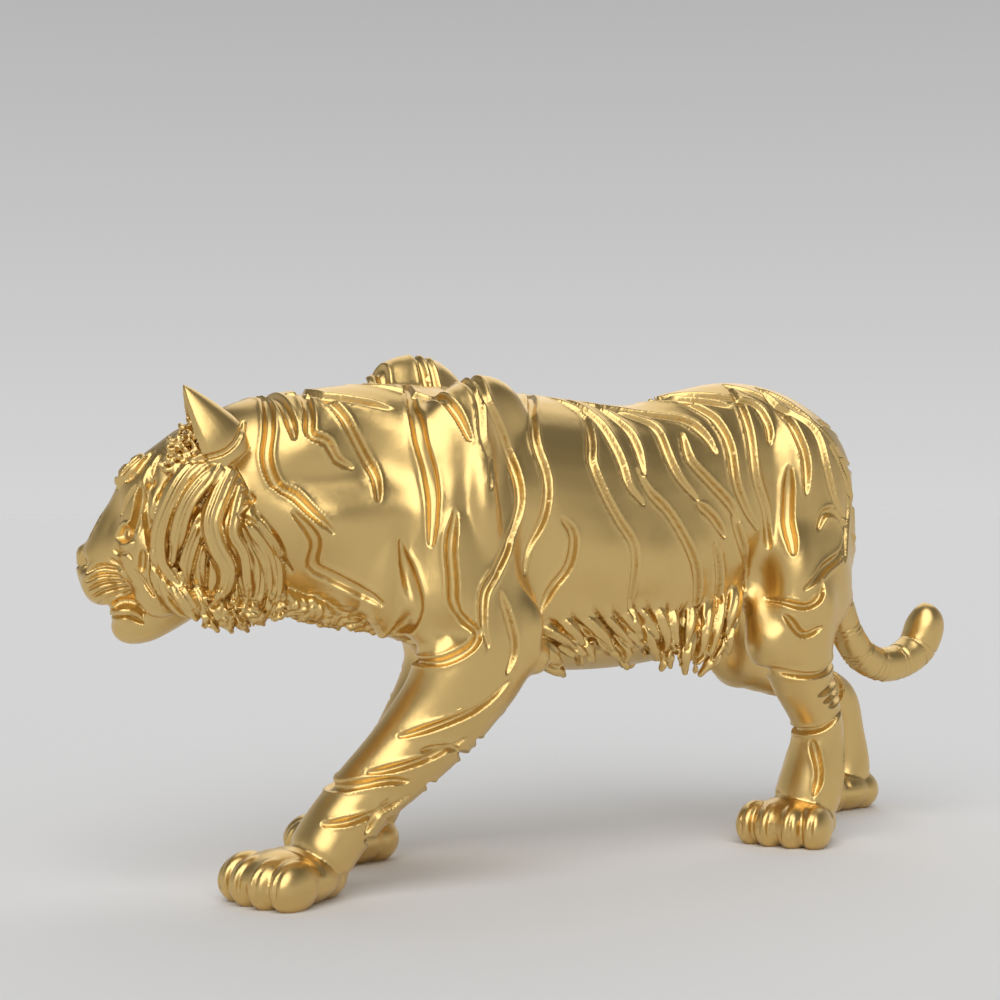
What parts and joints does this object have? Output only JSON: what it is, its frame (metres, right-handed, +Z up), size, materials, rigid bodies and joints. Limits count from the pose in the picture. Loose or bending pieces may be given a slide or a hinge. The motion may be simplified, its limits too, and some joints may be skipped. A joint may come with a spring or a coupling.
{
  "type": "tiger figurine",
  "caption": "Gold walking tiger ornament, head lowered and turned, with pressed-in stripes, a fur ruff and a hooked tail; it stands on its paws.",
  "frame": {"origin": "on the floor under the middle of the figure's length and width", "axes": "+X towards the head, +Y to the tiger's left, +Z up"},
  "size_m": [0.2716, 0.077, 0.1356],
  "materials": {
    "gold_paint": "satin gold metallic paint over cast resin"
  },
  "bodies": {
    "root": {"tiger": "gold_paint"}
  },
  "joints": []
}
